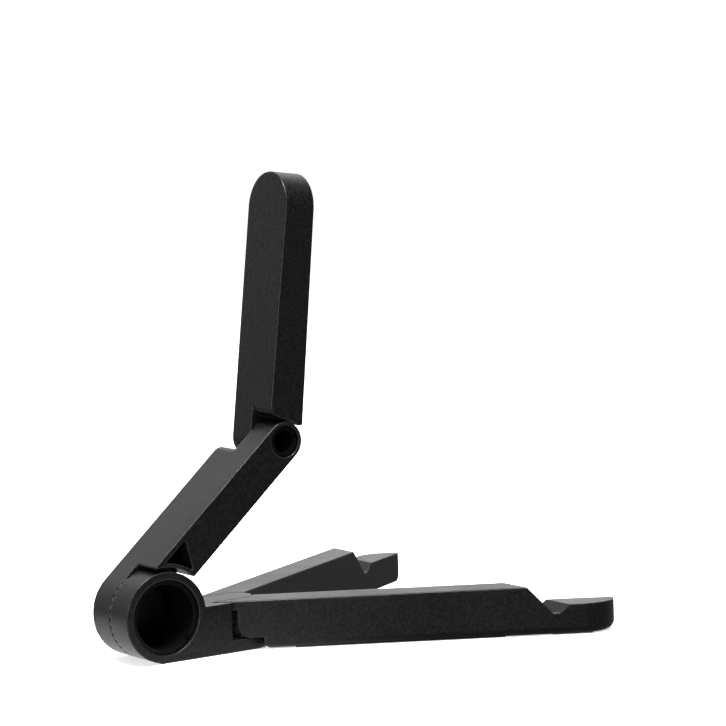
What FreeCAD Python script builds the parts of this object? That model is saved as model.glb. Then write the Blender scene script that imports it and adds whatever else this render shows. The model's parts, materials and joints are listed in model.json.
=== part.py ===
import FreeCAD, Part
import math
import os

Vector = FreeCAD.Vector

# Folding tablet stand, in millimetres, standing open on its rubber feet.
# X runs across the stand, -Y towards the toes, +Z up. The origin is on the ground, on the axis of
# the upright screw that both legs turn on. Left and right are those of a person facing the tablet.

# Overall
WIDTH = 23.4
HALF = WIDTH / 2
SEAM = 0.2            # half the gap between two hinge halves that face each other
WALL = 2.0            # moulded wall
EDGE = 0.5            # rounding of outer edges
FIT = 0.05            # radial clearance of a turning fit, and seat clearance of a snapped-in piece
PROUD = 0.2           # how far the rubber feet stand below the plastic
BIG = 400.0           # longer than the whole stand, for cutting tools
OVER = 1.0            # how far a cutting tool reaches past a face

# Angles of the open stand
LOWER_ANGLE = 41.0    # lower arm above the horizontal
UPPER_ANGLE = 82.5    # upper arm above the horizontal
SPREAD = 30.0         # each leg from the middle line

# Rear hub
HUB_R = 15.4
HUB_Y = 34.0
HUB_Z = PROUD + HUB_R
HUB_MOUTH_R = 12.84
HUB_BORE_R = 12.16
HUB_MOUTH_DEPTH = 4.0
BARREL_HOLLOW_R = 11.1
BARREL_RIM_R = 12.6
BARREL_RIM = 1.3
BARREL_SUNK = 1.2
BARREL_END = 8.6
BARREL_SLOT = 1.6
BARREL_SLOT_ANGLE = 45.0
TEETH = 36
TOOTH_WIDTH = 1.3
TOOTH_DEPTH = 0.7
TOOTH_INNER_R = 13.2

# Base
BASE_TOP = 17.3
PLATE_TOP = 4.2
NECK_ARC_R = 14.4     # the neck's hollow end, about the leg screw
DISC_GAP_R = 16.1     # room for the lower arm's disc
BASE_HEEL = 2.6       # the flat underside starts this far behind the hub's axis
FAR_HEEL = -7.5
NOSE_R = 14.4         # a narrow nose of the plate reaches under the open legs
NOSE_HALF = 6.0
TONGUE_HALF = 5.8
TONGUE_T = 2.9
ROOF_LOW = BASE_TOP - TONGUE_T

# Lower arm: lengths from the hub's axis, heights square to the arm
ELBOW_R = 6.8
LOWER_LENGTH = 73.2
LOWER_BACK = HUB_R
ELBOW_N = LOWER_BACK - ELBOW_R
LOWER_FRONT = ELBOW_N - ELBOW_R
HUB_GAP_R = 16.9
ELBOW_GAP_R = 7.6
POCKET_GAP_R = 18.2
POCKET_TOP = 13.6
POCKET_FAR = 23.0
POCKET_LOW = 3.4
POCKET_DEPTH = 8.5
RELIEF_BEND = 110.0   # the far half's end is cut back for the upper arm bent this far from straight
BACK_ROUND = 3.5

# Upper arm: lengths and heights from the elbow's axis
UPPER_LENGTH = 91.9
TIP_HALF = 12.1
TIP_DEPTH = 11.3
UPPER_SLOPE = (2 * ELBOW_R - TIP_DEPTH) / UPPER_LENGTH
HEEL_STEP = 0.35
HEEL_START = 11.2
HEEL_BROW = [(10.2, 6.35), (9.3, 5.8)]
HEEL_HOLLOW = [(8.2, 3.4), (7.8, 0.6)]
HEEL_TAIL = [(7.2, -2.6), (5.7, -5.1)]
HEEL_FRONT = 6.0
HEEL_ZONE = 12.0      # the small edges of the heel lie this near to the elbow's axis

# Elbow pin
PIN_MOUTH_R = 5.5
PIN_MOUTH_DEPTH = 3.7
PIN_R = 4.75
PIN_HEAD_R = 5.1
PIN_HEAD = 1.1
PIN_SUNK = 0.7
PIN_HOLLOW_R = 3.85
PIN_END = 8.0
PIN_NOTCH = 1.9
PIN_NOTCH_ANGLE = -22.0
PIN_WIRE_R = 0.2

# Shallow round dishes on the outer faces of the hub's and the elbow's closed halves
DISH_DEPTH = 0.5
HUB_DISH_R = 11.6
ELBOW_DISH_R = 4.6

# Springs
SPRING_TURNS = 2

# Arm covers
COVER_T = 1.6
COVER_HALF = 9.9
COVER_LEDGE = 1.3
LOWER_COVER = (25.5, 58.0)
UPPER_COVER = (15.0, 78.0)
PAD_SINK = 1.0
TIP_PAD_R = 9.4
TIP_PAD_PROUD = 0.5

# Legs: lengths from the screw along the leg, widths out from the legs' meeting faces
LEG_TOP = BASE_TOP
LEG_GAP = 0.15
LEG_LENGTH = 131.2
LEG_SKIRT_START = 0.5
LEG_ROOF_R = 13.0
LEG_ROOF_T = 3.1
LEG_UNDER = PLATE_TOP + 0.3
LEG_STEP_R = 14.9
STOP_GAP = 0.4
KNUCKLE_R = 7.8
KNUCKLE_ROOM_R = 9.6
SKIRT_ROUND = 4.3
LEG_COVER = (20.0, 92.0)
LEG_COVER_SIDES = (1.7, 10.2)
RIB = 1.2
LEG_RIBS = 4
ARM_RIBS = 3

# Tablet notch, the same straight line across both open legs; places along Y
RIDGE_Y = -80.6
NOTCH_REAR_Y = -88.2
NOTCH_FRONT_Y = -90.2
LIP_Y = -93.2
TOE_DROP_Y = -99.5
NOTCH_Z = 7.7
LIP_Z = 10.6
TOE_Z = 7.8
TOE_ROUND = 3.0       # rounding of the toe's lower rim
NOTCH_PAD_T = 1.0
NOTCH_PAD_HALF = 3.6
NOTCH_PAD_RISE = 0.75

# Foot pads
FOOT_T = 1.4
LEG_FOOT = (108.0, 123.0)
LEG_FOOT_SIDES = (2.6, 9.2)
BASE_FOOT_HALF = 8.0
BASE_FOOT_REAR = 26.0

# Leg screw and washers
SCREW_R = 2.5
SCREW_HEAD_R = 4.6
SCREW_HEAD_T = 1.9
SCREW_HEAD_LOW = 1.7
SCREW_TOP = 15.6
DRIVE_WIDTH = 1.0
DRIVE_LENGTH = 5.0
DRIVE_DEPTH = 1.1
WASHER_T = 0.4
WASHER_R = 7.0
CONE_R = 6.0
CONE_RISE = 0.3
KNUCKLE_SPLIT = 9.15

HUB = Vector(0, HUB_Y, HUB_Z)


# Closed face from a start point and steps. A step of two points is an arc through the first.
def outline(start, steps, place):
    edges = []
    here = place(*start)
    for step in steps:
        there = place(*step[-1])
        if len(step) == 2:
            edges.append(Part.Arc(here, place(*step[0]), there).toShape())
        else:
            edges.append(Part.LineSegment(here, there).toShape())
        here = there
    return Part.Face(Part.Wire(edges))


# Side outline in lengths along a level arm and heights, drawn across the stand.
def across(start, steps, low, high):
    face = outline(start, steps, lambda along, height: Vector(low, -along, height))
    return face.extrude(Vector(high - low, 0, 0))


# Plan outline in lengths along a closed leg and widths to one side, drawn upwards.
def upright(start, steps, side, low, high):
    face = outline(start, steps, lambda along, out: Vector(side * out, -along, low))
    return face.extrude(Vector(0, 0, high - low))


def drum_x(radius, low, high, along=0.0, height=0.0):
    return Part.makeCylinder(radius, high - low, Vector(low, -along, height), Vector(1, 0, 0))


def drum_z(radius, low, high):
    return Part.makeCylinder(radius, high - low, Vector(0, 0, low), Vector(0, 0, 1))


def block(x0, x1, y0, y1, z0, z1):
    return Part.makeBox(x1 - x0, y1 - y0, z1 - z0, Vector(x0, y0, z0))


def on_circle(radius, degrees):
    turn = math.radians(degrees)
    return (radius * math.cos(turn), radius * math.sin(turn))


# Direction of the point of a circle at a height.
def turn_at(radius, height):
    return math.degrees(math.asin(height / radius))


# One step of an outline: round the start of the axes from one direction to another.
def arc_step(radius, start, end):
    return [on_circle(radius, (start + end) / 2), on_circle(radius, end)]


# Rounds the edges that the test accepts.
def soften(shape, radius, wanted):
    return shape.makeFillet(radius, [edge for edge in shape.Edges if wanted(edge)])


# From the level, folded place to the open stand.
def set_lower(shape):
    return shape.rotated(Vector(0, 0, 0), Vector(1, 0, 0), -LOWER_ANGLE).translated(HUB)


def elbow_place():
    turn = math.radians(LOWER_ANGLE)
    along = LOWER_LENGTH * math.cos(turn) - ELBOW_N * math.sin(turn)
    height = LOWER_LENGTH * math.sin(turn) + ELBOW_N * math.cos(turn)
    return HUB + Vector(0, -along, height)


def set_upper(shape):
    return shape.rotated(Vector(0, 0, 0), Vector(1, 0, 0), -UPPER_ANGLE).translated(elbow_place())


def set_leg(shape, side):
    return shape.rotated(Vector(0, 0, 0), Vector(0, 0, 1), side * SPREAD)


# Round-wire compression spring around the X axis.
def spring(mean_r, wire_r, low, high):
    pitch = (high - low - 2 * wire_r) / SPRING_TURNS
    path = Part.makeHelix(pitch, pitch * SPRING_TURNS, mean_r)
    start = Part.makeCircle(wire_r, Vector(mean_r, 0, 0), Vector(0, 1, 0))
    coil = path.makePipeShell([Part.Wire(start)], True, True)
    coil = coil.rotated(Vector(0, 0, 0), Vector(0, 1, 0), 90)
    return coil.translated(Vector(low + wire_r, 0, 0))


# Radial slots across the toothed face of the hub's ring.
def tooth_gaps():
    reach = HUB_R + EDGE
    gap = block(-SEAM - TOOTH_DEPTH, 0, TOOTH_INNER_R, reach, -TOOTH_WIDTH / 2, TOOTH_WIDTH / 2)
    turns = [gap.rotated(Vector(0, 0, 0), Vector(1, 0, 0), 360 / TEETH * step) for step in range(TEETH)]
    return Part.makeCompound(turns).translated(HUB)


def base_body():
    ring = drum_x(HUB_R, -HALF, -SEAM).translated(HUB)
    near = block(-HALF, -SEAM, -NOSE_R, HUB_Y + BASE_HEEL, PROUD, BASE_TOP)
    far = block(-SEAM, HALF, -NOSE_R, HUB_Y + FAR_HEEL, PROUD, BASE_TOP)
    far = far.cut(drum_x(DISC_GAP_R, -SEAM, BIG).translated(HUB))
    blank = ring.fuse([near, far]).removeSplitter()
    # Above the plate the neck ends in a hollow arc and a tongue. The plate ends in a half circle with a
    # nose.
    room = drum_z(NECK_ARC_R, PLATE_TOP, BIG)
    room = room.fuse(block(-BIG, BIG, -BIG, 0, PLATE_TOP, BIG))
    nose = drum_z(NOSE_R, -BIG, BIG).common(block(-NOSE_HALF, NOSE_HALF, -BIG, 0, -BIG, BIG))
    front = block(-BIG, BIG, -BIG, 0, -BIG, BIG).cut(drum_z(HALF, -BIG, BIG)).cut(nose)
    blank = blank.cut(room).cut(front)
    tongue_low = BASE_TOP - TONGUE_T
    tongue = drum_z(TONGUE_HALF, tongue_low, BASE_TOP)
    tongue = tongue.fuse(block(-TONGUE_HALF, TONGUE_HALF, 0, NECK_ARC_R + EDGE, tongue_low, BASE_TOP))
    blank = blank.fuse(tongue).removeSplitter()
    blank = blank.cut(drum_x(HUB_BORE_R, -BIG, BIG).translated(HUB))
    mouth = drum_x(HUB_MOUTH_R, -HALF - OVER, -HALF + HUB_MOUTH_DEPTH).translated(HUB)
    blank = blank.cut(mouth).cut(tooth_gaps())
    blank = blank.cut(drum_z(SCREW_R + FIT, 0, SCREW_TOP + FIT))
    blank = blank.cut(drum_z(SCREW_HEAD_R + FIT, 0, SCREW_HEAD_LOW + SCREW_HEAD_T))
    return blank.cut(base_foot(FIT, 0))


# Rubber foot under the base, or with some play the seat for it.
def base_foot(play, low):
    half = BASE_FOOT_HALF + play
    rear = BASE_FOOT_REAR + play
    steps = [[(-rear, half)], [(0, half)], [(half, 0), (0, -half)], [(-rear, -half)], [(-rear, half)]]
    return upright((-rear, half), steps[1:], 1, low, FOOT_T)


# Countersunk shoulder screw with a cross drive; its plain tip sits in the tongue.
def leg_hinge_screw():
    screw = drum_z(SCREW_R, SCREW_HEAD_LOW, SCREW_TOP)
    screw = screw.fuse(drum_z(SCREW_HEAD_R, SCREW_HEAD_LOW, SCREW_HEAD_LOW + SCREW_HEAD_T))
    for wide, long in ((DRIVE_WIDTH, DRIVE_LENGTH), (DRIVE_LENGTH, DRIVE_WIDTH)):
        screw = screw.cut(block(-wide / 2, wide / 2, -long / 2, long / 2, 0, SCREW_HEAD_LOW + DRIVE_DEPTH))
    return screw


# One washer under each knuckle and one over the upper knuckle.
def leg_washers():
    heights = (PLATE_TOP, KNUCKLE_SPLIT - WASHER_T / 2, ROOF_LOW - 3 * WASHER_T)
    rings = [drum_z(WASHER_R, low, low + WASHER_T).cut(drum_z(SCREW_R + FIT, 0, BIG)) for low in heights]
    return Part.makeCompound(rings)


# Coned spring washer between the top washer and the tongue.
def leg_spring_washer():
    low = ROOF_LOW - 2 * WASHER_T
    inner = SCREW_R + FIT
    steps = [[(CONE_R, low)], [(CONE_R, low + WASHER_T)], [(inner, low + CONE_RISE + WASHER_T)],
             [(inner, low + CONE_RISE)]]
    face = outline((inner, low + CONE_RISE), steps, lambda out, height: Vector(out, 0, height))
    return face.revolve(Vector(0, 0, 0), Vector(0, 0, 1), 360)


# The hub's hollow bush: a rim with two spanner slots, and a sleeve that ends inside the arm's disc.
def hub_barrel():
    low = -HALF + BARREL_SUNK
    barrel = drum_x(HUB_BORE_R - FIT, low, BARREL_END)
    barrel = barrel.fuse(drum_x(BARREL_RIM_R, low, low + BARREL_RIM))
    barrel = barrel.cut(drum_x(BARREL_HOLLOW_R, -BIG, BIG))
    slot = block(low - OVER, low + BARREL_RIM, -BIG, BIG, -BARREL_SLOT / 2, BARREL_SLOT / 2)
    return barrel.cut(slot.rotated(Vector(0, 0, 0), Vector(1, 0, 0), BARREL_SLOT_ANGLE)).translated(HUB)


def hub_spring():
    wire_r = (BARREL_RIM_R - HUB_BORE_R) / 2
    low = -HALF + BARREL_SUNK + BARREL_RIM
    high = -HALF + HUB_MOUTH_DEPTH
    return spring(HUB_BORE_R + wire_r + FIT, wire_r, low, high).translated(HUB)


# Side outline of the lower arm's far half: disc, beam and a cut-back end beside the elbow.
def lower_far():
    lean = math.radians(RELIEF_BEND - 90)
    back_end = LOWER_LENGTH - ELBOW_GAP_R / math.cos(lean) - ELBOW_R * math.tan(lean)
    low_turn = 180 + math.degrees(math.asin(ELBOW_R / ELBOW_GAP_R))
    arc = arc_step(ELBOW_GAP_R, low_turn, 90 + RELIEF_BEND)
    hollow = [(LOWER_LENGTH + along, ELBOW_N + up) for along, up in arc]
    low_along = LOWER_LENGTH + ELBOW_GAP_R * math.cos(math.radians(low_turn))
    steps = [[(low_along, LOWER_FRONT)], hollow, [(back_end, LOWER_BACK)], [(0, LOWER_BACK)],
             [(0, LOWER_FRONT)]]
    beam = across((0, LOWER_FRONT), steps, SEAM, HALF)
    beam = soften(beam, BACK_ROUND, lambda edge: is_cross(edge, back_end, LOWER_BACK))
    return beam.fuse(drum_x(HUB_R, SEAM, HALF)).removeSplitter()


# True for a straight edge across the stand at one length and height of the arm.
def is_cross(edge, along, height):
    middle = edge.CenterOfMass
    return edge.BoundBox.XLength > SEAM and abs(middle.y + along) < FIT and abs(middle.z - height) < FIT


# Its near half: hollow end about the hub's ring, beam and round elbow knuckle.
def lower_near(high):
    back_turn = turn_at(HUB_GAP_R, LOWER_BACK)
    front_turn = turn_at(HUB_GAP_R, LOWER_FRONT)
    steps = [[(LOWER_LENGTH, LOWER_FRONT)],
             [(LOWER_LENGTH + ELBOW_R, ELBOW_N), (LOWER_LENGTH, LOWER_BACK)],
             [on_circle(HUB_GAP_R, back_turn)], arc_step(HUB_GAP_R, back_turn, front_turn)]
    return across(on_circle(HUB_GAP_R, front_turn), steps, -HALF, high)


# Three-cornered pocket beside the hub that keeps the wall even.
def side_pocket():
    top_turn = turn_at(POCKET_GAP_R, POCKET_TOP)
    low_turn = turn_at(POCKET_GAP_R, POCKET_LOW)
    steps = [[(POCKET_FAR, POCKET_TOP)], [on_circle(POCKET_GAP_R, top_turn)],
             arc_step(POCKET_GAP_R, top_turn, low_turn)]
    pocket = across(on_circle(POCKET_GAP_R, low_turn), steps, -HALF - OVER, -HALF + POCKET_DEPTH)
    return soften(pocket, EDGE, lambda edge: edge.BoundBox.XLength > POCKET_DEPTH)


# Strip along an arm's front face: from one length to another, so deep, over a half width.
def front_strip(span, depth, half, front, slope):
    near, far = span
    at_near = front + slope * near
    at_far = front + slope * far
    steps = [[(far, at_far - OVER)], [(far, at_far + depth)], [(near, at_near + depth)],
             [(near, at_near - OVER)]]
    return across((near, at_near - OVER), steps, -half, half)


# Core of a hollow arm, divided by cross ribs.
def arm_core(span, front, slope, back):
    half = COVER_HALF - COVER_LEDGE
    near = span[0] + COVER_LEDGE
    far = span[1] - COVER_LEDGE
    core = block(-half, half, -far, -near, front - OVER, back - WALL)
    core = core.cut(front_strip(grown((near, far), OVER), 0, half + OVER, front, slope))
    pitch = (far - near) / (ARM_RIBS + 1)
    for step in range(1, ARM_RIBS + 1):
        along = near + pitch * step
        low = front + slope * along + COVER_T
        core = core.cut(block(-half, half, -along - RIB / 2, -along + RIB / 2, low, back))
    return core


def grown(span, play):
    return (span[0] - play, span[1] + play)


def lower_arm_shell():
    beam = lower_far().fuse([lower_near(-SEAM), lower_near(SEAM).common(joining_slab(lower_far()))])
    beam = beam.removeSplitter()
    beam = soften(beam, EDGE, outer_edge)
    beam = beam.cut(side_pocket())
    beam = beam.cut(front_strip(grown(LOWER_COVER, FIT), COVER_T, COVER_HALF + FIT, LOWER_FRONT, 0))
    beam = beam.cut(arm_core(LOWER_COVER, LOWER_FRONT, 0, LOWER_BACK))
    beam = beam.cut(drum_x(HUB_BORE_R - FIT / 2, 0, BARREL_END + FIT))
    beam = beam.cut(drum_x(HUB_DISH_R, HALF - DISH_DEPTH, BIG))
    beam = beam.cut(drum_x(PIN_R + FIT, -BIG, 0, LOWER_LENGTH, ELBOW_N))
    beam = beam.cut(drum_x(PIN_MOUTH_R, -BIG, -HALF + PIN_MOUTH_DEPTH, LOWER_LENGTH, ELBOW_N))
    return set_lower(beam)


# The slice of an arm between the two hinge halves, inside the outline of the given half.
def joining_slab(far_half):
    return far_half.translated(Vector(-2 * SEAM, 0, 0)).common(block(-SEAM, SEAM, -BIG, BIG, -BIG, BIG))


# Outer edges are those away from the seam between the two halves of a hinge.
def outer_edge(edge):
    box = edge.BoundBox
    on_seam = box.XMax < SEAM + FIT and box.XMin > -SEAM - FIT
    return not on_seam and edge.Length > EDGE


# The upper arm's outer edges, but for the small ones of its heel.
def upper_edge(edge):
    middle = edge.CenterOfMass
    at_heel = middle.x < SEAM + FIT and -HEEL_ZONE < middle.y < HEEL_ZONE
    return outer_edge(edge) and not at_heel


def lower_arm_cover():
    strip = front_strip(LOWER_COVER, COVER_T - FIT, COVER_HALF, LOWER_FRONT, 0)
    plate = strip.common(block(-BIG, BIG, -BIG, BIG, LOWER_FRONT, BIG))
    return set_lower(plate)


def beam_block():
    steps = [[(UPPER_LENGTH, ELBOW_R - TIP_DEPTH)], [(UPPER_LENGTH, ELBOW_R)], [(0, ELBOW_R)],
             [(0, -ELBOW_R)]]
    return (0, -ELBOW_R), steps


def upper_far():
    start, steps = beam_block()
    return across(start, steps, SEAM, BIG).fuse(drum_x(ELBOW_R, SEAM, BIG)).removeSplitter()


# The near half ends in a curved heel that clears the lower arm's knuckle.
def upper_near(high):
    step_down = ELBOW_R - HEEL_STEP
    front = (HEEL_FRONT, -ELBOW_R + UPPER_SLOPE * HEEL_FRONT)
    steps = [[(UPPER_LENGTH, ELBOW_R - TIP_DEPTH)], [(UPPER_LENGTH, ELBOW_R)], [(HEEL_START, ELBOW_R)],
             [(HEEL_START, step_down)], HEEL_BROW, HEEL_HOLLOW, HEEL_TAIL, [front]]
    return across(front, steps, -BIG, high)


# Both arms share this width at the elbow; the upper one grows a little to its round tip.
def upper_plan():
    centre = UPPER_LENGTH - TIP_HALF
    start = -ELBOW_R - OVER
    steps = [[(centre, TIP_HALF)], [(UPPER_LENGTH, 0), (centre, -TIP_HALF)], [(start, -HALF)],
             [(start, HALF)]]
    return upright((start, HALF), steps, 1, -BIG, BIG)


def upper_arm_shell():
    beam = upper_far().fuse([upper_near(-SEAM), upper_near(SEAM).common(joining_slab(upper_far()))])
    beam = beam.removeSplitter().common(upper_plan())
    beam = soften(beam, EDGE, upper_edge)
    beam = beam.cut(front_strip(grown(UPPER_COVER, FIT), COVER_T, COVER_HALF + FIT, -ELBOW_R, UPPER_SLOPE))
    beam = beam.cut(arm_core(UPPER_COVER, -ELBOW_R, UPPER_SLOPE, ELBOW_R))
    beam = beam.cut(tip_seat(TIP_PAD_R + FIT, OVER))
    beam = beam.cut(drum_x(PIN_R + FIT / 2, 0, PIN_END + FIT))
    beam = beam.cut(drum_x(ELBOW_DISH_R, HALF - DISH_DEPTH, BIG))
    return set_upper(beam)


def upper_arm_cover():
    strip = front_strip(UPPER_COVER, COVER_T - FIT, COVER_HALF, -ELBOW_R, UPPER_SLOPE)
    start, steps = beam_block()
    return set_upper(strip.common(across(start, steps, -HALF, HALF)))


# Half-round block at the tip's front face, standing out by so much.
def tip_seat(radius, out):
    centre = UPPER_LENGTH - TIP_HALF
    start = centre + COVER_LEDGE
    base = -ELBOW_R + UPPER_SLOPE * start
    far = -ELBOW_R + UPPER_SLOPE * UPPER_LENGTH
    steps = [[(UPPER_LENGTH, far - out)], [(UPPER_LENGTH, far + PAD_SINK)], [(start, base + PAD_SINK)],
             [(start, base - out)]]
    strip = across((start, base - out), steps, -HALF, HALF)
    return strip.common(drum_z(radius, -BIG, BIG).translated(Vector(0, -centre, 0)))


def tip_pad():
    return set_upper(tip_seat(TIP_PAD_R, TIP_PAD_PROUD))


# Hollow elbow pin with a head in the near knuckle; a notch in the head keys it for fitting.
def elbow_pin():
    low = -HALF + PIN_SUNK
    pin = drum_x(PIN_R, low, PIN_END).fuse(drum_x(PIN_HEAD_R, low, low + PIN_HEAD))
    pin = pin.cut(drum_x(PIN_HOLLOW_R, -BIG, BIG))
    notch = block(low - OVER, low + PIN_HEAD, -BIG, 0, -PIN_NOTCH / 2, PIN_NOTCH / 2)
    pin = pin.cut(notch.rotated(Vector(0, 0, 0), Vector(1, 0, 0), PIN_NOTCH_ANGLE))
    return pin.translated(elbow_place())


def elbow_spring():
    low = -HALF + PIN_SUNK + PIN_HEAD
    high = -HALF + PIN_MOUTH_DEPTH
    return spring(PIN_R + 2 * FIT + PIN_WIRE_R, PIN_WIRE_R, low, high).translated(elbow_place())


def elbow_washer():
    half = SEAM - FIT
    ring = drum_x(ELBOW_R - EDGE, -half, half).cut(drum_x(PIN_R + FIT, -half, half))
    return ring.translated(elbow_place())


# Plan of a closed leg: straight sides and a rounded toe that matches the other leg's.
def leg_plan(side, back, low, high):
    centre = LEG_LENGTH - HALF
    corner = (centre + HALF * math.sqrt(0.5), HALF * math.sqrt(0.5))
    steps = [[(LEG_LENGTH, LEG_GAP)], [corner, (centre, HALF)], [(-back, HALF)], [(-back, LEG_GAP)]]
    return upright((-back, LEG_GAP), steps, side, low, high)


# Room for the tongue in the leg's roof, up to the line where the open leg stops against it.
def tongue_room(side):
    radius = TONGUE_HALF + STOP_GAP
    arc = arc_step(radius, 0, 90 - SPREAD)
    touch = arc[-1]
    reach = math.radians(SPREAD)
    far = (touch[0] - BIG * math.cos(reach), touch[1] + BIG * math.sin(reach))
    steps = [arc, [far], [(-BIG, -BIG)], [(radius, -BIG)], [(radius, 0)]]
    return upright((radius, 0), steps, side, ROOF_LOW - STOP_GAP, BIG)


# Cutting tool for the tablet notch and the low toe, along X over the open legs.
def notch_tool():
    steps = [[(-NOTCH_REAR_Y, PROUD + NOTCH_Z)], [(-NOTCH_FRONT_Y, PROUD + NOTCH_Z)],
             [(-LIP_Y, PROUD + LIP_Z)], [(-TOE_DROP_Y, PROUD + LIP_Z)], [(BIG, PROUD + TOE_Z)],
             [(BIG, BIG)], [(-RIDGE_Y, BIG)], [(-RIDGE_Y, LEG_TOP)]]
    return across((-RIDGE_Y, LEG_TOP), steps, -BIG, BIG)


# Rubber lining on the notch's floor and the lower part of its rear slope.
def notch_lining(thick):
    rise = NOTCH_PAD_RISE * (LEG_TOP - PROUD - NOTCH_Z)
    run = NOTCH_PAD_RISE * (NOTCH_REAR_Y - RIDGE_Y)
    slope = math.hypot(rise, run)
    back = (-thick * rise / slope, thick * run / slope)
    floor = PROUD + NOTCH_Z
    top = (-NOTCH_REAR_Y + run, floor + rise)
    steps = [[(-NOTCH_REAR_Y, floor)], [(-NOTCH_FRONT_Y, floor)], [(-NOTCH_FRONT_Y, floor - thick)],
             [(-NOTCH_REAR_Y + back[0], floor - thick)], [(top[0] + back[0], top[1] + back[1])], [top]]
    return across(top, steps, -BIG, BIG)


def notch_pad(side, play):
    middle = HALF / 2
    half = NOTCH_PAD_HALF + play
    lane = leg_lane(side, (LEG_LENGTH / 2, LEG_LENGTH), (middle - half, middle + half), 0, LEG_TOP)
    return notch_lining(NOTCH_PAD_T + play).common(set_leg(lane, side))


# Block along a closed leg between two lengths and two widths.
def leg_lane(side, span, sides, low, high):
    steps = [[(span[1], sides[0])], [(span[1], sides[1])], [(span[0], sides[1])], [(span[0], sides[0])]]
    return upright((span[0], sides[0]), steps, side, low, high)


def leg_cover(side, play):
    lane = leg_lane(side, grown(LEG_COVER, play), grown(LEG_COVER_SIDES, play), PROUD, PROUD + COVER_T)
    return set_leg(lane, side)


def leg_foot(side, play, low):
    return set_leg(leg_lane(side, grown(LEG_FOOT, play), grown(LEG_FOOT_SIDES, play), low, FOOT_T), side)


# Core of the hollow leg, divided by cross ribs.
def leg_core(side):
    near = LEG_COVER[0] + COVER_LEDGE
    far = LEG_COVER[1] - COVER_LEDGE
    sides = (LEG_COVER_SIDES[0] + RIB / 2, LEG_COVER_SIDES[1] - RIB / 2)
    core = leg_lane(side, (near, far), sides, 0, LEG_TOP - WALL)
    pitch = (far - near) / (LEG_RIBS + 1)
    for step in range(1, LEG_RIBS + 1):
        along = near + pitch * step
        rib = leg_lane(side, (along - RIB / 2, along + RIB / 2), sides, PROUD + COVER_T, LEG_TOP)
        core = core.cut(rib)
    return core


# Leg with a skirt and roof over the screw, and its own knuckle between two heights.
def leg_shell(side, knuckle_low, knuckle_high):
    body = leg_plan(side, -LEG_SKIRT_START, PROUD, LEG_TOP)
    body = body.cut(drum_z(LEG_STEP_R, 0, LEG_UNDER))
    body = soften(body, SKIRT_ROUND, is_skirt_corner)
    roof = drum_z(LEG_ROOF_R, BASE_TOP - LEG_ROOF_T, LEG_TOP)
    roof = roof.common(leg_lane(side, (-LEG_ROOF_R, OVER), (LEG_GAP, HALF), 0, LEG_TOP))
    body = body.fuse(roof).removeSplitter()
    body = soften(body, TOE_ROUND, toe_edge)
    body = soften(body, EDGE, leg_edge)
    body = body.cut(drum_z(KNUCKLE_ROOM_R, 0, ROOF_LOW - STOP_GAP)).cut(tongue_room(side))
    knuckle = drum_z(KNUCKLE_R, knuckle_low, knuckle_high)
    reach = KNUCKLE_ROOM_R + OVER
    bridge = leg_lane(side, (0, reach), (LEG_GAP, reach), knuckle_low, knuckle_high)
    bridge = bridge.common(drum_z(KNUCKLE_ROOM_R + EDGE, 0, LEG_TOP))
    body = body.fuse([knuckle, bridge]).cut(drum_z(SCREW_R + FIT, 0, ROOF_LOW))
    body = body.cut(leg_core(side)).removeSplitter()
    body = set_leg(body, side).cut(notch_tool())
    return body.cut(leg_cover(side, FIT)).cut(leg_foot(side, FIT, 0)).cut(notch_pad(side, FIT))


# The lower rear corner of the skirt, seen from the side.
def is_skirt_corner(edge):
    middle = edge.CenterOfMass
    return abs(middle.y + LEG_SKIRT_START) < FIT and abs(middle.z - LEG_UNDER) < FIT


# The lower rim around the toe's round corner.
def toe_edge(edge):
    middle = edge.CenterOfMass
    return middle.y < HALF - LEG_LENGTH and abs(middle.z - PROUD) < FIT


# Long outer edges of a leg: its top and bottom rims and the corners of the toe.
def leg_edge(edge):
    box = edge.BoundBox
    return box.YLength > WIDTH and abs(edge.CenterOfMass.x) > HALF / 2


parts = {}
parts["base_body"] = base_body()
parts["base_foot_pad"] = base_foot(0, 0)
parts["leg_hinge_screw"] = leg_hinge_screw()
parts["leg_washers"] = leg_washers()
parts["leg_spring_washer"] = leg_spring_washer()
parts["hub_spring"] = hub_spring()
parts["lower_arm_shell"] = lower_arm_shell()
parts["lower_arm_cover"] = lower_arm_cover()
parts["hub_barrel"] = hub_barrel()
parts["upper_arm_shell"] = upper_arm_shell()
parts["upper_arm_cover"] = upper_arm_cover()
parts["tip_pad"] = tip_pad()
parts["elbow_pin"] = elbow_pin()
parts["elbow_spring"] = elbow_spring()
parts["elbow_washer"] = elbow_washer()

# The left leg's knuckle is the upper one.
knuckles = {"right": (PLATE_TOP + WASHER_T + FIT, KNUCKLE_SPLIT - WASHER_T / 2 - FIT),
            "left": (KNUCKLE_SPLIT + WASHER_T / 2 + FIT, ROOF_LOW - 3 * WASHER_T - FIT)}
sides = {"left": -1, "right": 1}
for name, side in sides.items():
    parts[name + "_leg_shell"] = leg_shell(side, *knuckles[name])
    parts[name + "_leg_cover"] = leg_cover(side, 0)
    parts[name + "_notch_pad"] = notch_pad(side, 0)
    parts[name + "_foot_pad"] = leg_foot(side, 0, 0)

os.makedirs("parts", exist_ok=True)
for name, shape in parts.items():
    print(name, shape.isValid(), round(shape.Volume, 1), len(shape.Solids))
    shape.exportStep("parts/" + name + ".step")
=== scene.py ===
import json
import math

import bmesh
import bpy
from mathutils import Matrix, Vector


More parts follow.
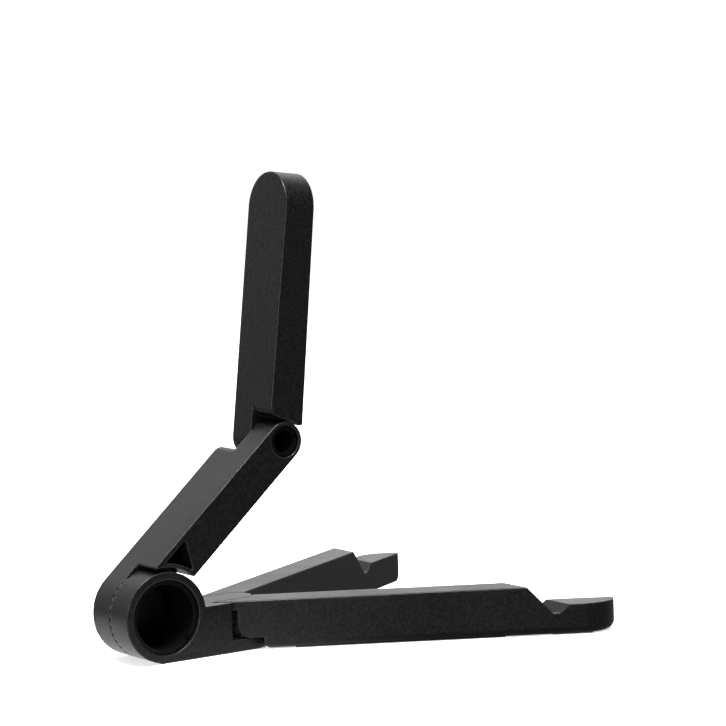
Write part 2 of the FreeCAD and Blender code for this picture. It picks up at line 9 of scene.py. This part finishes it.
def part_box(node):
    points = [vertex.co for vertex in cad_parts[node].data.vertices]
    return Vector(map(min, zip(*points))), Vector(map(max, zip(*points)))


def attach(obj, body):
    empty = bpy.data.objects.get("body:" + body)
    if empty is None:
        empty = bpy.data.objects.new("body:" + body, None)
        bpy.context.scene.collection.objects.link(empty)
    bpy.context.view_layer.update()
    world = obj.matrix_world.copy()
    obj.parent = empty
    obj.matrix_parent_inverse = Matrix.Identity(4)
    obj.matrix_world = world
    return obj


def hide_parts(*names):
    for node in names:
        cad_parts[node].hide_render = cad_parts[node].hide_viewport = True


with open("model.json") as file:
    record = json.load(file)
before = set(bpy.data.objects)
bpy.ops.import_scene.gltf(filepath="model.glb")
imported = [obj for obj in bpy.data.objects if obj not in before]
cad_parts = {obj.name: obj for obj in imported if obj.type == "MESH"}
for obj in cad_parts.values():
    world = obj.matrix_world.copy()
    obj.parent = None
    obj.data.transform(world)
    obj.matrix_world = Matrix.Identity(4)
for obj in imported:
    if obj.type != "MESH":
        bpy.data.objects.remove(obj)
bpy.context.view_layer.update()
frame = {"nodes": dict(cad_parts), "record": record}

mm = 0.001
nodes = frame["nodes"]
print("frame loaded:", len(nodes), "nodes")


def hexLinear(code):
    # sRGB hex to linear colour
    out = []
    for i in (0, 2, 4):
        c = int(code[i:i + 2], 16) / 255
        out.append(c / 12.92 if c <= 0.04045 else ((c + 0.055) / 1.055) ** 2.4)
    return (*out, 1.0)


def addNode(tree, kind, settings=None, links=None):
    # one node, its settings and the sockets that feed it
    node = tree.nodes.new(kind)
    for name, value in (settings or {}).items():
        if hasattr(node, name):
            setattr(node, name, value)
        else:
            node.inputs[name].default_value = value
    for name, source in (links or {}).items():
        tree.links.new(source, node.inputs[name])
    return node


def newMaterial(name):
    # a material with its shader, ready for nodes
    material = bpy.data.materials.new(name)
    material.use_nodes = True
    return material, material.node_tree, material.node_tree.nodes["Principled BSDF"]


def perMm(size):
    # texture scale that gives features of so many millimetres
    return 1 / (size * mm)


def mapFrom(span):
    # the values that a Map Range node takes in
    return {"From Min": span[0], "From Max": span[1]}


def mapTo(span):
    # the values that a Map Range node gives out
    return {"To Min": span[0], "To Max": span[1]}


# Camera, light and floor.
view = {
    "place": (-0.9133, 0.5551, 0.2060),
    "turn": (84.116, 2.068, -124.027),     # degrees
    "lens": 155.89,
    "sensor": 36.0,
}
camData = bpy.data.cameras.new("camera")
camData.lens = view["lens"]
camData.sensor_width = view["sensor"]
camera = bpy.data.objects.new("camera", camData)
camera.location = view["place"]
camera.rotation_euler = [math.radians(a) for a in view["turn"]]
bpy.context.scene.collection.objects.link(camera)
bpy.context.scene.camera = camera
bpy.context.scene.view_settings.view_transform = "Standard"

studio = {
    "brightSide": (0.83, -0.56, 0.0),      # the white wall stands this way from the stand
    "wallTurn": (0.22, 0.90),              # where the wall's light starts and is full, as a cosine
    "wall": (0.10, 1.60),                  # world brightness away from the wall and towards it
    "ceilingTurn": (0.35, 1.0),            # where the ceiling's light starts and is full, as a sine
    "ceiling": 0.15,                       # added straight overhead
    "backdrop": 1.1,                       # the plain white that the camera sees behind the stand
    "lamps": {
        "overhead": {"place": (-0.32, 0.22, 1.20), "aim": (0, 0, 0.05), "size": 0.42, "power": 40},
        "key": {"place": (0.10, 0.45, 1.10), "aim": (0, 0, 0.05), "size": 0.9, "power": 5},
        "edge": {"place": (-0.80, 1.10, 0.25), "aim": (0, 0, 0.10), "size": 0.34, "power": 12},
        "front": {"place": (0.55, -1.20, 0.70), "aim": (0, 0, 0.06), "size": 0.7, "power": 3},
    },
    "floorSize": 30.0,
    "floorColour": "f4f4f4",
    "floorRoughness": 0.9,
    "floorGlow": 0.6,                      # lifts the paper to a plain white for the camera
    # the light that the floor throws on the stand: strong by the hub, weak further out
    "bounce": {"middle": (0.03, 0.035, 0.0), "reach": (0.045, 0.12), "near": 1.5, "far": 0.28},
}
world = bpy.data.worlds.new("studio")
bpy.context.scene.world = world
world.use_nodes = True
sky = world.node_tree
way = addNode(sky, "ShaderNodeTexCoord")
towards = addNode(sky, "ShaderNodeVectorMath", {"operation": "DOT_PRODUCT"},
                  {0: way.outputs["Generated"]})
towards.inputs[1].default_value = studio["brightSide"]
wall = addNode(sky, "ShaderNodeMapRange",
               {"interpolation_type": "SMOOTHSTEP", **mapFrom(studio["wallTurn"]), **mapTo(studio["wall"])},
               {"Value": towards.outputs["Value"]})
height = addNode(sky, "ShaderNodeSeparateXYZ", None, {0: way.outputs["Generated"]})
ceiling = addNode(sky, "ShaderNodeMapRange",
                  {**mapFrom(studio["ceilingTurn"]), **mapTo((0.0, studio["ceiling"]))},
                  {"Value": height.outputs["Z"]})
room = addNode(sky, "ShaderNodeMath", {"operation": "ADD"}, {0: wall.outputs[0], 1: ceiling.outputs[0]})
ray = addNode(sky, "ShaderNodeLightPath")
# the camera sees a plain backdrop, and the stand is lit by and mirrors the room
seen = addNode(sky, "ShaderNodeMapRange", {"To Max": studio["backdrop"]},
               {"Value": ray.outputs["Is Camera Ray"], "To Min": room.outputs[0]})
sky.links.new(seen.outputs[0], sky.nodes["Background"].inputs["Strength"])
sky.nodes["Background"].inputs["Color"].default_value = (1, 1, 1, 1)

for name, setting in studio["lamps"].items():
    lamp = bpy.data.lights.new(name, "AREA")
    lamp.size = setting["size"]
    lamp.energy = setting["power"]
    lampObject = bpy.data.objects.new(name, lamp)
    lampObject.location = setting["place"]
    aim = Vector(setting["aim"]) - Vector(setting["place"])
    lampObject.rotation_euler = aim.to_track_quat("-Z", "Y").to_euler()
    bpy.context.scene.collection.objects.link(lampObject)


def makeStudioPaper():
    # matt white paper where the camera looks at it; for the stand it only glows, most by the hub
    material, tree, shader = newMaterial("studioPaper")
    shader.inputs["Base Color"].default_value = hexLinear(studio["floorColour"])
    shader.inputs["Emission Color"].default_value = (1, 1, 1, 1)
    shader.inputs["Emission Strength"].default_value = studio["floorGlow"]
    shader.inputs["Roughness"].default_value = studio["floorRoughness"]
    bounce = studio["bounce"]
    place = addNode(tree, "ShaderNodeTexCoord")
    away = addNode(tree, "ShaderNodeVectorMath", {"operation": "DISTANCE"}, {0: place.outputs["Object"]})
    away.inputs[1].default_value = bounce["middle"]
    glow = addNode(tree, "ShaderNodeMapRange",
                   {"interpolation_type": "SMOOTHSTEP", **mapFrom(bounce["reach"]),
                    **mapTo((bounce["near"], bounce["far"]))},
                   {"Value": away.outputs["Value"]})
    soft = addNode(tree, "ShaderNodeEmission", None, {"Strength": glow.outputs[0]})
    ray = addNode(tree, "ShaderNodeLightPath")
    both = addNode(tree, "ShaderNodeMixShader", None,
                   {0: ray.outputs["Is Camera Ray"], 1: soft.outputs[0], 2: shader.outputs[0]})
    tree.links.new(both.outputs[0], tree.nodes["Material Output"].inputs["Surface"])
    return material


bpy.ops.object.select_all(action="DESELECT")
bpy.ops.mesh.primitive_plane_add(size=studio["floorSize"], location=(0, 0, 0))
floor = bpy.context.object
floor.name = "floor"
floor.data.materials.append(makeStudioPaper())
print("studio ready")


rubbingAndHighlight = {"samples": 8, "turn": (1.0, 0.86)}      # turn: the cosine on flat faces, and on a full corner


def edgeWearAndHighlight(tree, reach):
    # the rounded normal of moulded corners, and how far each spot is turned: 0 on flat faces, rising on
    # corners, which are drawn rubbed smoother and lighter, the lighter colour partly wear and partly a
    # painted highlight
    turned = addNode(tree, "ShaderNodeBevel", {"samples": rubbingAndHighlight["samples"], "Radius": reach * mm})
    flat = addNode(tree, "ShaderNodeNewGeometry")
    same = addNode(tree, "ShaderNodeVectorMath", {"operation": "DOT_PRODUCT"},
                   {0: turned.outputs["Normal"], 1: flat.outputs["Normal"]})
    rubbedAndHighlit = addNode(tree, "ShaderNodeMapRange", mapFrom(rubbingAndHighlight["turn"]),
                     {"Value": same.outputs["Value"]})
    return turned.outputs["Normal"], rubbedAndHighlit.outputs[0]


noiseSpan = (0.3, 0.7)      # nearly all of a noise texture's values lie in here


def makeMouldedAbs():
    # black ABS from a spark-eroded mould: a fine even grain that breaks the highlight, and corners
    # rubbed smoother and painted a little lighter, partly as wear and partly as a painted edge highlight
    finish = {
        "colour": "030303", "light": "141415", "rubbedAndHighlit": "262627",
        "grain": 0.75,            # mm; real grit is near 0.15, drawn coarser so that it shows
        "grainDetail": 3.0, "grainMix": 0.6,
        "grainHeight": 0.12,      # mm, drawn deeper for the same reason
        "grainStrength": 0.9,
        "pits": (0.40, 0.64),     # the part of the grain that turns from pit to top
        "speckle": 0.05,          # how far the grain moves the roughness, either way
        "cloud": 22.0,            # mm, slow drift of the gloss over a panel
        "cloudDetail": 4.0,
        "roughness": (0.33, 0.42),
        "edge": 0.8,              # mm
        "edgeGloss": -0.08,       # rubbed corners are this much smoother
        "ior": 1.31,              # bare ABS is near 1.5; lower here, because its faces shine so little
    }
    material, tree, shader = newMaterial("mouldedAbs")
    place = addNode(tree, "ShaderNodeTexCoord")
    grain = addNode(tree, "ShaderNodeTexNoise",
                    {"Scale": perMm(finish["grain"]), "Detail": finish["grainDetail"],
                     "Roughness": finish["grainMix"]},
                    {"Vector": place.outputs["Object"]})
    cloud = addNode(tree, "ShaderNodeTexNoise",
                    {"Scale": perMm(finish["cloud"]), "Detail": finish["cloudDetail"]},
                    {"Vector": place.outputs["Object"]})
    rounded, edge = edgeWearAndHighlight(tree, finish["edge"])
    pits = addNode(tree, "ShaderNodeMapRange", mapFrom(finish["pits"]), {"Value": grain.outputs["Fac"]})
    tone = addNode(tree, "ShaderNodeMix", {"data_type": "RGBA"}, {"Factor": pits.outputs[0]})
    tone.inputs[6].default_value = hexLinear(finish["colour"])
    tone.inputs[7].default_value = hexLinear(finish["light"])
    # corners painted lighter: partly rubbed wear, partly a painted highlight along the edges
    wornAndHighlit = addNode(tree, "ShaderNodeMix", {"data_type": "RGBA"}, {"Factor": edge, 6: tone.outputs[2]})
    wornAndHighlit.inputs[7].default_value = hexLinear(finish["rubbedAndHighlit"])
    gloss = addNode(tree, "ShaderNodeMapRange", {**mapFrom(noiseSpan), **mapTo(finish["roughness"])},
                    {"Value": cloud.outputs["Fac"]})
    speckle = addNode(tree, "ShaderNodeMapRange",
                      {**mapFrom(noiseSpan), **mapTo((-finish["speckle"], finish["speckle"]))},
                      {"Value": grain.outputs["Fac"]})
    polish = addNode(tree, "ShaderNodeMath", {"operation": "MULTIPLY_ADD"},
                     {0: edge, 2: gloss.outputs[0]})
    polish.inputs[1].default_value = finish["edgeGloss"]
    dull = addNode(tree, "ShaderNodeMath", {"operation": "ADD"},
                   {0: polish.outputs[0], 1: speckle.outputs[0]})
    bump = addNode(tree, "ShaderNodeBump",
                   {"Strength": finish["grainStrength"], "Distance": finish["grainHeight"] * mm},
                   {"Height": grain.outputs["Fac"], "Normal": rounded})
    tree.links.new(wornAndHighlit.outputs[2], shader.inputs["Base Color"])
    tree.links.new(dull.outputs[0], shader.inputs["Roughness"])
    tree.links.new(bump.outputs["Normal"], shader.inputs["Normal"])
    shader.inputs["IOR"].default_value = finish["ior"]
    return material


def makeMouldedAcetal():
    # black moulded acetal, the plastic of bushes and pins: an even dark satin, with faint flow marks
    # drawn out along the axis
    finish = {"colour": "040404", "flow": 3.0, "flowDetail": 3.0, "stretch": (0.15, 1.0, 1.0),
              "roughness": (0.40, 0.52), "ior": 1.48,
              "shine": 0.12}      # far below bare acetal's 0.5, so that the open bores stay black
    material, tree, shader = newMaterial("mouldedAcetal")
    place = addNode(tree, "ShaderNodeTexCoord")
    stretch = addNode(tree, "ShaderNodeMapping", {"Scale": finish["stretch"]},
                      {"Vector": place.outputs["Object"]})
    flow = addNode(tree, "ShaderNodeTexNoise",
                   {"Scale": perMm(finish["flow"]), "Detail": finish["flowDetail"]},
                   {"Vector": stretch.outputs["Vector"]})
    gloss = addNode(tree, "ShaderNodeMapRange", {**mapFrom(noiseSpan), **mapTo(finish["roughness"])},
                    {"Value": flow.outputs["Fac"]})
    tree.links.new(gloss.outputs[0], shader.inputs["Roughness"])
    shader.inputs["Base Color"].default_value = hexLinear(finish["colour"])
    shader.inputs["IOR"].default_value = finish["ior"]
    shader.inputs["Specular IOR Level"].default_value = finish["shine"]
    return material


def makeSiliconeRubber():
    # black silicone rubber: dull, slightly dusty on top of its fine skin
    finish = {"colour": "171717", "dust": "242423",
              "skin": 0.35, "skinDetail": 2.0, "skinHeight": 0.02, "skinStrength": 0.5,      # mm
              "dustPatch": 4.0, "dustDetail": 5.0,      # mm
              "roughness": (0.55, 0.78), "ior": 1.41}
    material, tree, shader = newMaterial("siliconeRubber")
    place = addNode(tree, "ShaderNodeTexCoord")
    skin = addNode(tree, "ShaderNodeTexNoise",
                   {"Scale": perMm(finish["skin"]), "Detail": finish["skinDetail"]},
                   {"Vector": place.outputs["Object"]})
    patch = addNode(tree, "ShaderNodeTexNoise",
                    {"Scale": perMm(finish["dustPatch"]), "Detail": finish["dustDetail"]},
                    {"Vector": place.outputs["Object"]})
    tone = addNode(tree, "ShaderNodeMix", {"data_type": "RGBA"}, {"Factor": patch.outputs["Fac"]})
    tone.inputs[6].default_value = hexLinear(finish["colour"])
    tone.inputs[7].default_value = hexLinear(finish["dust"])
    dull = addNode(tree, "ShaderNodeMapRange", mapTo(finish["roughness"]), {"Value": patch.outputs["Fac"]})
    bump = addNode(tree, "ShaderNodeBump",
                   {"Strength": finish["skinStrength"], "Distance": finish["skinHeight"] * mm},
                   {"Height": skin.outputs["Fac"]})
    tree.links.new(tone.outputs[2], shader.inputs["Base Color"])
    tree.links.new(dull.outputs[0], shader.inputs["Roughness"])
    tree.links.new(bump.outputs["Normal"], shader.inputs["Normal"])
    shader.inputs["IOR"].default_value = finish["ior"]
    return material


def makeZincSteel():
    # zinc-plated spring and screw steel: bright, softly brushed, a little clouded
    finish = {"bright": "c9ccd0", "cloudy": "a9adb3",
              "scratch": 0.4, "scratchDetail": 2.0,      # mm
              "patch": 3.0, "patchDetail": 4.0,          # mm
              "roughness": (0.22, 0.42)}
    material, tree, shader = newMaterial("zincPlatedSteel")
    place = addNode(tree, "ShaderNodeTexCoord")
    patch = addNode(tree, "ShaderNodeTexNoise",
                    {"Scale": perMm(finish["patch"]), "Detail": finish["patchDetail"]},
                    {"Vector": place.outputs["Object"]})
    scratch = addNode(tree, "ShaderNodeTexNoise",
                      {"Scale": perMm(finish["scratch"]), "Detail": finish["scratchDetail"]},
                      {"Vector": place.outputs["Object"]})
    tone = addNode(tree, "ShaderNodeMix", {"data_type": "RGBA"}, {"Factor": patch.outputs["Fac"]})
    tone.inputs[6].default_value = hexLinear(finish["bright"])
    tone.inputs[7].default_value = hexLinear(finish["cloudy"])
    gloss = addNode(tree, "ShaderNodeMapRange", mapTo(finish["roughness"]), {"Value": scratch.outputs["Fac"]})
    tree.links.new(tone.outputs[2], shader.inputs["Base Color"])
    tree.links.new(gloss.outputs[0], shader.inputs["Roughness"])
    shader.inputs["Metallic"].default_value = 1.0
    return material


def makeNaturalNylon():
    # natural nylon sheet, punched: milky and mottled at random, and drawn darker overall as painted shade of
    # the hinge gap it sits in
    finish = {"pale": "8f8a7d", "shade": "67635a",
              "patch": 2.0, "patchDetail": 3.0,      # mm
              "roughness": 0.45, "ior": 1.53}
    material, tree, shader = newMaterial("naturalNylon")
    place = addNode(tree, "ShaderNodeTexCoord")
    patch = addNode(tree, "ShaderNodeTexNoise",
                    {"Scale": perMm(finish["patch"]), "Detail": finish["patchDetail"]},
                    {"Vector": place.outputs["Object"]})
    tone = addNode(tree, "ShaderNodeMix", {"data_type": "RGBA"}, {"Factor": patch.outputs["Fac"]})
    tone.inputs[6].default_value = hexLinear(finish["pale"])
    tone.inputs[7].default_value = hexLinear(finish["shade"])
    tree.links.new(tone.outputs[2], shader.inputs["Base Color"])
    shader.inputs["Roughness"].default_value = finish["roughness"]
    shader.inputs["IOR"].default_value = finish["ior"]
    return material


siliconeRubber = makeSiliconeRubber()
finishOf = {"shell_plastic": makeMouldedAbs(), "bush_plastic": makeMouldedAcetal(), "rubber": siliconeRubber,
            "steel": makeZincSteel(), "washer_plastic": makeNaturalNylon()}
for part in frame["record"]["subparts"]:
    mesh = nodes[part["node"]].data
    mesh.materials.clear()
    mesh.materials.append(finishOf[part["material_slot"]])
print("materials on", len(nodes), "nodes")


# Rubber pads, each shaped from a block or disc and grooved.
squareOn = 0.99                   # a face looks along a direction when the cosine is past this
tiny = 0.02 * mm
smoothAngle = math.radians(35)    # edges sharper than this stay crisp
rimSteps = 3


def selectFaces(test):
    # in edit mode, only the faces whose centre and normal pass
    mesh = bmesh.from_edit_mesh(bpy.context.object.data)
    for face in mesh.faces:
        face.select_set(test(face.calc_center_median(), face.normal))
    bmesh.update_edit_mesh(bpy.context.object.data)


def selectEdges(test):
    # in edit mode, only the edges whose middle and direction pass
    mesh = bmesh.from_edit_mesh(bpy.context.object.data)
    for edge in mesh.edges:
        start, end = edge.verts[0].co, edge.verts[1].co
        edge.select_set(test((start + end) / 2, end - start))
    bmesh.update_edit_mesh(bpy.context.object.data)


def toEdit():
    # edit mode with faces in hand and nothing selected
    bpy.ops.object.mode_set(mode="EDIT")
    bpy.ops.mesh.select_mode(type="FACE")
    bpy.ops.mesh.select_all(action="DESELECT")


def finishPiece(piece, name, body, node, turn=0.0, place=(0, 0, 0)):
    # turned about Z and put in place, shaded smooth, with its rubber, its body and the node it stands for
    bpy.ops.object.mode_set(mode="OBJECT")
    piece.name = name
    piece.data.transform(Matrix.Translation(place) @ Matrix.Rotation(turn, 4, "Z"))
    bpy.ops.object.shade_smooth_by_angle(angle=smoothAngle)
    piece.data.materials.clear()
    piece.data.materials.append(siliconeRubber)
    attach(piece, body)
    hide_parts(node)


def addBlock(low, high):
    # box between two corners in millimetres, in edit mode with nothing selected
    bpy.ops.object.select_all(action="DESELECT")
    bpy.ops.mesh.primitive_cube_add(size=1)
    size = [(b - a) * mm for a, b in zip(low, high)]
    middle = [(a + b) / 2 * mm for a, b in zip(low, high)]
    bpy.context.object.data.transform(Matrix.Translation(middle) @ Matrix.Diagonal((*size, 1)))
    toEdit()
    return bpy.context.object


def roundCorners(test, radius, segments):
    # bevels the upright edges that pass
    bpy.ops.mesh.select_mode(type="EDGE")
    selectEdges(lambda c, d: abs(d.z) > abs(d.x) + abs(d.y) and test(c))
    bpy.ops.mesh.bevel(offset=radius * mm, segments=segments)


def softenRim(test, radius):
    # a small round on the edges that pass
    bpy.ops.mesh.select_mode(type="EDGE")
    selectEdges(test)
    bpy.ops.mesh.bevel(offset=radius * mm, segments=rimSteps)
    bpy.ops.mesh.select_mode(type="FACE")


def grooveLanes(setting, start, end, way, facing):
    # slices the piece into equal lanes, square to the way, and sinks every second one into the face
    # that looks out along facing
    way, facing = Vector(way), Vector(facing)
    lane = (end - start) / setting["lanes"]
    for step in range(1, setting["lanes"]):
        bpy.ops.mesh.select_all(action="SELECT")
        bpy.ops.mesh.bisect(plane_co=way * (start + lane * step) * mm, plane_no=way)
    bpy.ops.mesh.select_mode(type="FACE")
    bpy.ops.mesh.select_all(action="DESELECT")
    selectFaces(lambda c, n: n.dot(facing) > squareOn and int((c.dot(way) / mm - start) // lane) % 2 == 1)
    bpy.ops.mesh.inset(thickness=setting["border"] * mm, use_boundary=True)
    bpy.ops.transform.translate(value=-facing * setting["groove"] * mm)


spread = math.radians(30)         # each leg from the middle line

legFoot = {"long": 15.0, "wide": 6.6, "corner": 1.6, "cornerSteps": 6, "lanes": 19, "groove": 0.35,
           "border": 0.12, "rim": 0.25}


def makeLegFoot(name, node, body, turn):
    # stuck-on pad with cross grooves against slipping
    low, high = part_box(node)
    long, wide, thick = legFoot["long"], legFoot["wide"], (high.z - low.z) / mm
    pad = addBlock((-wide / 2, -long / 2, 0), (wide / 2, long / 2, thick))
    roundCorners(lambda c: True, legFoot["corner"], legFoot["cornerSteps"])
    softenRim(lambda c, d: c.z > thick * mm - tiny or (c.z < tiny and abs(d.z) < tiny), legFoot["rim"])
    grooveLanes(legFoot, -long / 2, long / 2, (0, 1, 0), (0, 0, -1))
    finishPiece(pad, name, body, node, turn, ((low + high) / 2).to_2d().to_3d())


makeLegFoot("leftFootPad", "left_foot_pad", "left_leg", -spread)
makeLegFoot("rightFootPad", "right_foot_pad", "right_leg", spread)

baseFoot = {"frontRadius": 7.95, "frontSteps": 16, "rearCorner": 1.5, "rearSteps": 5, "nearRear": 0.1,
            "rim": 0.3, "lanes": 23, "groove": 0.4, "border": 0.15}


def makeBaseFoot():
    # larger pad under the hub and the leg screw, round at the front, grooved the same way
    low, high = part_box("base_foot_pad")
    low, high = low / mm, high / mm
    pad = addBlock(low, high)
    roundCorners(lambda c: c.y < 0, baseFoot["frontRadius"], baseFoot["frontSteps"])
    roundCorners(lambda c: c.y > (high.y - baseFoot["nearRear"]) * mm, baseFoot["rearCorner"],
                 baseFoot["rearSteps"])
    softenRim(lambda c, d: c.z > high.z * mm - tiny or (c.z < tiny and abs(d.z) < tiny), baseFoot["rim"])
    grooveLanes(baseFoot, low.y, high.y, (0, 1, 0), (0, 0, -1))
    finishPiece(pad, "baseFootPad", "base", "base_foot_pad")


makeBaseFoot()
print("foot pads")

# Half-round pad on the tip: drawn flat with its outer face up at height 0, then laid on the sloping face.
tipPad = {"radius": 9.4, "thick": 1.5, "fromMiddle": 1.3, "mountFromMiddle": 4.2, "sides": 64,
          "rim": 0.4, "corner": 0.8, "cornerSteps": 5, "lanes": 9, "groove": 0.25, "border": 0.16}


def makeTipPad():
    # placed by the mount on the pad's outer face
    rest = next(m for m in frame["record"]["mounts"] if m["name"] == "tip_rest")
    outward = Vector(rest["axis"])
    up = outward.cross(Vector((1, 0, 0)))
    up = up if up.z > 0 else -up
    bpy.ops.object.select_all(action="DESELECT")
    bpy.ops.mesh.primitive_cylinder_add(vertices=tipPad["sides"], radius=tipPad["radius"] * mm,
                                        depth=tipPad["thick"] * mm, location=(0, 0, 0))
    pad = bpy.context.object
    pad.data.transform(Matrix.Translation((0, 0, -tipPad["thick"] / 2 * mm)))
    toEdit()
    flatEnd = tipPad["fromMiddle"] * mm
    bpy.ops.mesh.select_all(action="SELECT")
    bpy.ops.mesh.bisect(plane_co=(0, flatEnd, 0), plane_no=(0, 1, 0), use_fill=True, clear_inner=True)
    roundCorners(lambda c: c.y < flatEnd + tiny and abs(c.x) > tipPad["radius"] / 2 * mm,
                 tipPad["corner"], tipPad["cornerSteps"])
    softenRim(lambda c, d: c.z > -tiny, tipPad["rim"])
    grooveLanes(tipPad, tipPad["fromMiddle"], tipPad["radius"], (0, 1, 0), (0, 0, 1))
    bpy.ops.object.mode_set(mode="OBJECT")
    middle = Vector(rest["pos_m"]) - up * tipPad["mountFromMiddle"] * mm
    sideways = up.cross(outward)
    lay = Matrix((sideways, up, outward)).transposed().to_4x4()
    pad.data.transform(Matrix.Translation(middle) @ lay)
    finishPiece(pad, "tipPad", "upper_arm", "tip_pad")


makeTipPad()
print("tip pad")

# Lining of the tablet notch: a floor and a sloping back in one bent strip, cut along the turned leg.
notchPad = {"thick": 1.0, "floor": 2.0, "slope": math.radians(51), "middle": 5.85, "half": 3.6,
            "spare": 1.0,      # drawn longer by this at both ends, then cut along the leg
            "rim": 0.18, "lanes": 11, "groove": 0.22, "border": 0.12}


def makeNotchPad(name, node, body, side):
    # side is -1 on the left leg and 1 on the right
    low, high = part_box(node)
    low, high = low / mm, high / mm
    thick, lean = notchPad["thick"], notchPad["slope"]
    corner = Vector((0, low.y + notchPad["floor"], low.z + thick))
    rise = high.z - corner.z
    run = rise / math.tan(lean)
    uphill = Vector((0, math.cos(lean), math.sin(lean)))
    facing = Vector((0, -math.sin(lean), math.cos(lean)))
    outward = Vector((side * math.cos(spread), math.sin(spread), 0))
    ends = [notchPad["middle"] - notchPad["half"], notchPad["middle"] + notchPad["half"]]

    spare = notchPad["spare"]
    pad = addBlock((low.x - spare, low.y, low.z), (high.x + spare, corner.y, corner.z))
    selectFaces(lambda c, n: n.y > squareOn)
    bpy.ops.mesh.extrude_region_move(TRANSFORM_OT_translate={"value": (0, run * mm, rise * mm)})
    # the strip keeps its thickness round the bend and at its top
    bpy.ops.mesh.select_mode(type="EDGE")
    back, up = thick * math.sin(lean), thick - thick * math.cos(lean)
    for y, z, lift in ((corner.y, low.z, 0), (corner.y + run, low.z + rise, up)):
        selectEdges(lambda c, d: abs(c.y - y * mm) < tiny and abs(c.z - z * mm) < tiny)
        bpy.ops.transform.translate(value=(0, back * mm, lift * mm))
    for reach, inner in zip(ends, (True, False)):
        bpy.ops.mesh.select_all(action="SELECT")
        bpy.ops.mesh.bisect(plane_co=outward * reach * mm, plane_no=outward, use_fill=True,
                            clear_inner=inner, clear_outer=not inner)

    def isShown(c):
        onFloor = abs(c.z - corner.z * mm) < tiny and c.y < corner.y * mm + tiny
        return onFloor or abs((c - corner * mm).dot(facing)) < tiny

    def isRim(c, d):
        atEnd = min(abs(c.dot(outward) - reach * mm) for reach in ends) < tiny
        return isShown(c) and (atEnd or c.y < low.y * mm + tiny or c.z > high.z * mm - tiny)

    softenRim(isRim, notchPad["rim"])
    start = corner.dot(uphill)
    grooveLanes(notchPad, start, start + rise / math.sin(lean), uphill, facing)
    finishPiece(pad, name, body, node)


makeNotchPad("leftNotchPad", "left_notch_pad", "left_leg", -1)
makeNotchPad("rightNotchPad", "right_notch_pad", "right_leg", 1)
print("notch pads")
